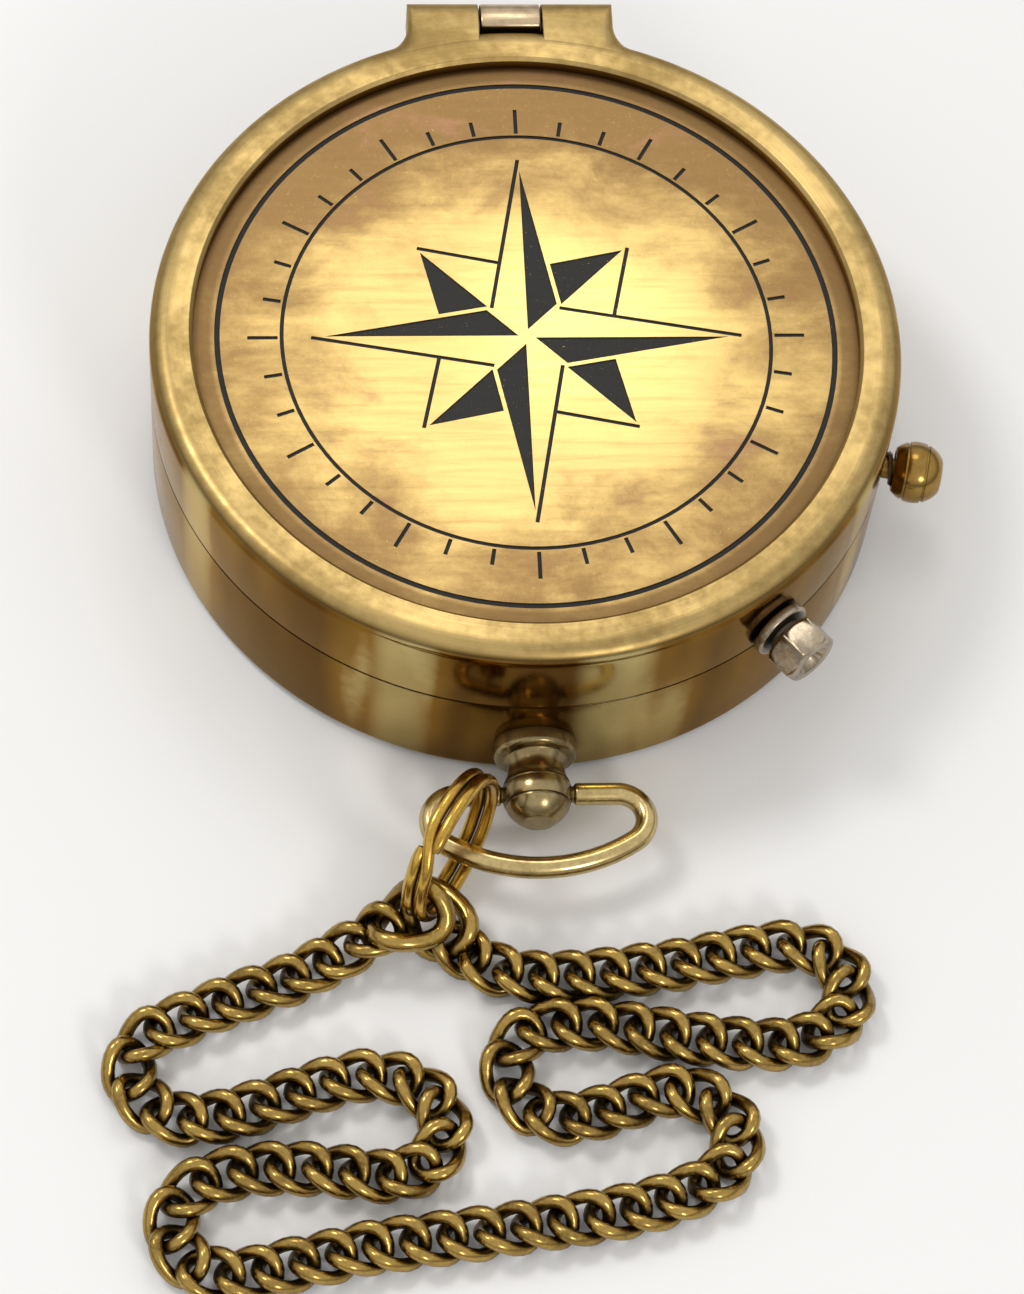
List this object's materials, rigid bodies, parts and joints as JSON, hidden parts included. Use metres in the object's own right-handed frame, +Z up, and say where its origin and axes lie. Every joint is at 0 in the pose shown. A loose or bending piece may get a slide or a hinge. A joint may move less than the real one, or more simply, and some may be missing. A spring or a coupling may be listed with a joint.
{
  "type": "pocket compass",
  "caption": "Round hinged pocket compass with an etched lid, a needle brake, a turning degree ring, a pendant with a swinging bow, a split ring and a chain.",
  "frame": {"origin": "centre of the flat underside of the base, on the surface that the compass lies on", "axes": "+Z up along the casing's axis, +Y towards the hinge, -Y towards the pendant and bow"},
  "size_m": [0.0852, 0.1342, 0.023],
  "materials": {
    "case_brass": "aged, polished on the edges",
    "plate_brass": "brushed, with black etching",
    "hinge_bronze": "satin",
    "knob_brass": "polished",
    "fitting_bronze": "aged, polished",
    "inner_brass": "satin",
    "steel": "satin",
    "dial_white": "matt",
    "glass_clear": "clear",
    "gasket_rubber": "matt",
    "jewel": "polished",
    "needle_blue": "gloss",
    "ring_brass": "polished",
    "chain_brass": "antique, dark in the recesses"
  },
  "bodies": {
    "casing": {"base_casing": "case_brass", "hinge_knuckle": "hinge_bronze", "hinge_rivets": "inner_brass", "hinge_pin": "steel", "dial_seat": "inner_brass", "dial_plate": "dial_white", "dial_screws": "steel", "bezel_ring": "inner_brass", "glass_gasket": "gasket_rubber", "glass": "glass_clear", "pivot_post": "inner_brass", "pivot_point": "steel", "brake_spring": "steel", "bar_guide": "inner_brass", "guide_screws": "steel", "adjuster_bush": "fitting_bronze", "adjuster_bridge": "inner_brass", "pendant": "fitting_bronze", "pendant_nut": "inner_brass", "split_ring": "ring_brass", "end_links": "chain_brass", "chain_a": "chain_brass", "chain_b": "chain_brass", "chain_c": "chain_brass", "chain_d": "chain_brass"},
    "lid": {"lid_ring": "case_brass", "lid_plate": "plate_brass", "lid_snap_ring": "steel"},
    "needle": {"needle_blade": "needle_blue", "needle_hub": "inner_brass", "needle_jewel": "jewel"},
    "degree_dial": {"degree_ring": "inner_brass"},
    "adjuster": {"adjuster_knob": "fitting_bronze", "adjuster_pinion": "inner_brass"},
    "brake": {"brake_button": "knob_brass", "brake_bar": "steel", "brake_nut": "steel"},
    "lift": {"lift_collar": "steel"},
    "bow_loop": {"bow": "fitting_bronze"}
  },
  "joints": [
    {"name": "lid_hinge", "type": "hinge", "parent": "casing", "child": "lid", "pos_m": [0, 0.0391, 0.0204], "axis": [-1, 0, 0], "range_deg": [0, 110]},
    {"name": "needle_swing", "type": "hinge", "parent": "casing", "child": "needle", "pos_m": [0, 0, 0.008], "axis": [0, 0, 1], "continuous": true},
    {"name": "degree_turn", "type": "hinge", "parent": "casing", "child": "degree_dial", "pos_m": [0, 0, 0.011], "axis": [0, 0, 1], "continuous": true},
    {"name": "adjuster_turn", "type": "hinge", "parent": "casing", "child": "adjuster", "pos_m": [0.02376, -0.02966, 0.0147], "axis": [0.6252, -0.7804, 0], "continuous": true},
    {"name": "brake_press", "type": "slide", "parent": "casing", "child": "brake", "axis": [-0.981, 0.1942, 0], "range_m": [0, 0.0012], "stiffness_N_per_m": 300, "springref_m": -0.001},
    {"name": "collar_lift", "type": "slide", "parent": "casing", "child": "lift", "axis": [0, 0, 1], "range_m": [0, 0.0009]},
    {"name": "bow_swing", "type": "hinge", "parent": "casing", "child": "bow_loop", "pos_m": [0, -0.0429, 0.0053], "axis": [-1, 0, 0], "range_deg": [-5, 25]}
  ],
  "couplings": [
    {"joint": "adjuster_turn", "follows": "degree_turn", "ratio": 14},
    {"joint": "collar_lift", "follows": "brake_press", "ratio": 0.75}
  ]
}
